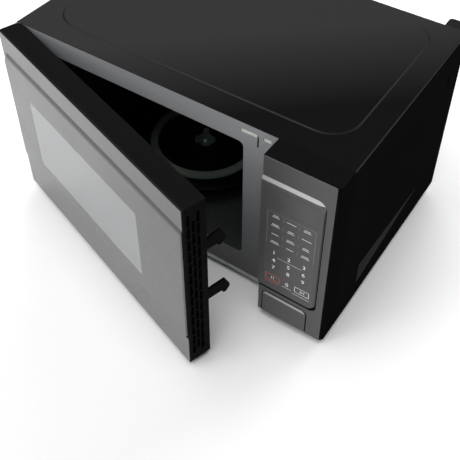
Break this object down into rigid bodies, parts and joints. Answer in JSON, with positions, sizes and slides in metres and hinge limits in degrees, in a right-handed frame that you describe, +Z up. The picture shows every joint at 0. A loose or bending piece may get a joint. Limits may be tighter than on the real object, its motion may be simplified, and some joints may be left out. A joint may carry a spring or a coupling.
{
  "type": "microwave oven",
  "caption": "Countertop microwave oven with a left-hinged door standing ajar, glass turntable, flat keypad panel and a push button that releases the latch.",
  "frame": {"origin": "on the plane the feet stand on, midway between the cabinet sides, in the plane of the cabinet's front edge", "axes": "+X to the right seen from the front, +Y to the back, +Z up; the door and control panel stand forward of the origin, towards -Y"},
  "size_m": [0.5134, 0.4897, 0.2907],
  "materials": {
    "case_black": "satin",
    "plate_grey": "satin",
    "cavity_grey": "satin",
    "steel": "brushed",
    "chrome_steel": "polished",
    "door_silver": "satin metallic paint",
    "panel_grey": "satin",
    "keypad_grey": "satin film",
    "black_plastic": "fine texture",
    "clear_window": "clear",
    "dark_window": "gloss",
    "tray_glass": "clear",
    "white_nylon": "satin",
    "aluminium": "plain",
    "copper": "enamelled wire",
    "board_green": "coated",
    "mica": "matte",
    "foot_rubber": "matte"
  },
  "bodies": {
    "cabinet": {"base_plate": "steel", "capacitor": "aluminium", "capacitor_clamp": "steel", "cavity": "cavity_grey", "cavity_lamp": "white_nylon", "control_bezel": "panel_grey", "control_board": "board_green", "cord_gland": "black_plastic", "diode": "black_plastic", "display_window": "dark_window", "fan_motor": "steel", "fan_shroud": "black_plastic", "feet": "foot_rubber", "filter_board": "board_green", "front_plate": "plate_grey", "front_screws": "chrome_steel", "keypad": "keypad_grey", "latch_bracket": "white_nylon", "lever_pin": "steel", "lever_spring": "steel", "lower_hinge": "steel", "magnetron_filter": "steel", "magnetron_fins": "aluminium", "magnetron_tube": "aluminium", "magnetron_yoke": "steel", "monitor_switch": "black_plastic", "outer_case": "case_black", "primary_switch": "black_plastic", "rear_panel": "case_black", "rear_screws": "chrome_steel", "rear_spacers": "black_plastic", "secondary_switch": "black_plastic", "thermal_cutouts": "black_plastic", "transformer_core": "steel", "transformer_windings": "copper", "turntable_motor": "steel", "upper_hinge": "steel", "waveguide": "steel", "waveguide_cover": "mica"},
    "latch": {"latch_hooks": "black_plastic"},
    "button": {"open_button": "panel_grey"},
    "lever": {"release_lever": "black_plastic"},
    "turntable": {"drive_coupler": "white_nylon", "glass_turntable": "tray_glass"},
    "ring": {"roller_ring": "white_nylon"},
    "fan": {"fan_impeller": "white_nylon"},
    "door": {"door_front": "door_silver", "door_window": "clear_window", "door_frame": "black_plastic", "choke_cover": "black_plastic", "choke_frame": "cavity_grey", "door_screen": "cavity_grey", "inner_film": "clear_window", "latch_spring": "steel"},
    "wheel_1": {"roller_1": "white_nylon"},
    "wheel_2": {"roller_2": "white_nylon"},
    "wheel_3": {"roller_3": "white_nylon"},
    "primary_key": {"primary_plunger": "white_nylon"},
    "monitor_key": {"monitor_plunger": "white_nylon"},
    "secondary_key": {"secondary_plunger": "white_nylon"}
  },
  "joints": [
    {"name": "door_swing", "type": "hinge", "parent": "cabinet", "child": "door", "pos_m": [-0.2435, -0.019, 0.15], "axis": [0, 0, -1], "range_deg": [-17.4, 82.6]},
    {"name": "latch_drop", "type": "slide", "parent": "door", "child": "latch", "axis": [0, 0, 1], "range_m": [-0.003, 0], "stiffness_N_per_m": 1500},
    {"name": "button_press", "type": "slide", "parent": "cabinet", "child": "button", "axis": [0, 1, 0], "range_m": [0, 0.005], "stiffness_N_per_m": 400},
    {"name": "lever_rock", "type": "hinge", "parent": "cabinet", "child": "lever", "pos_m": [0.16575, 0.018, 0.068], "axis": [1, 0, 0], "range_deg": [0, 10.7]},
    {"name": "turntable_spin", "type": "hinge", "parent": "cabinet", "child": "turntable", "pos_m": [-0.055, 0.148, 0.072], "axis": [0, 0, 1], "continuous": true},
    {"name": "ring_spin", "type": "hinge", "parent": "cabinet", "child": "ring", "pos_m": [-0.055, 0.148, 0.0643], "axis": [0, 0, 1], "continuous": true},
    {"name": "fan_spin", "type": "hinge", "parent": "cabinet", "child": "fan", "pos_m": [0.1905, 0.294, 0.178], "axis": [0, 1, 0], "continuous": true},
    {"name": "wheel_1_spin", "type": "hinge", "parent": "ring", "child": "wheel_1", "pos_m": [0.02294, 0.193, 0.0643], "axis": [0.866, 0.5, 0], "continuous": true},
    {"name": "wheel_2_spin", "type": "hinge", "parent": "ring", "child": "wheel_2", "pos_m": [-0.13294, 0.193, 0.0643], "axis": [-0.866, 0.5, 0], "continuous": true},
    {"name": "wheel_3_spin", "type": "hinge", "parent": "ring", "child": "wheel_3", "pos_m": [-0.055, 0.058, 0.0643], "axis": [0, -1, 0], "continuous": true},
    {"name": "primary_travel", "type": "slide", "parent": "cabinet", "child": "primary_key", "axis": [0, 1, 0], "range_m": [0, 0.0015], "stiffness_N_per_m": 300},
    {"name": "monitor_travel", "type": "slide", "parent": "cabinet", "child": "monitor_key", "axis": [0, 1, 0], "range_m": [0, 0.0015], "stiffness_N_per_m": 300},
    {"name": "secondary_travel", "type": "slide", "parent": "cabinet", "child": "secondary_key", "axis": [0, 1, 0], "range_m": [0, 0.0015], "stiffness_N_per_m": 300}
  ],
  "couplings": [
    {"joint": "lever_rock", "follows": "button_press", "rad_per_m": 37.037},
    {"joint": "ring_spin", "follows": "turntable_spin", "ratio": 0.5},
    {"joint": "wheel_1_spin", "follows": "turntable_spin", "ratio": -5.625},
    {"joint": "wheel_2_spin", "follows": "turntable_spin", "ratio": -5.625},
    {"joint": "wheel_3_spin", "follows": "turntable_spin", "ratio": -5.625}
  ]
}
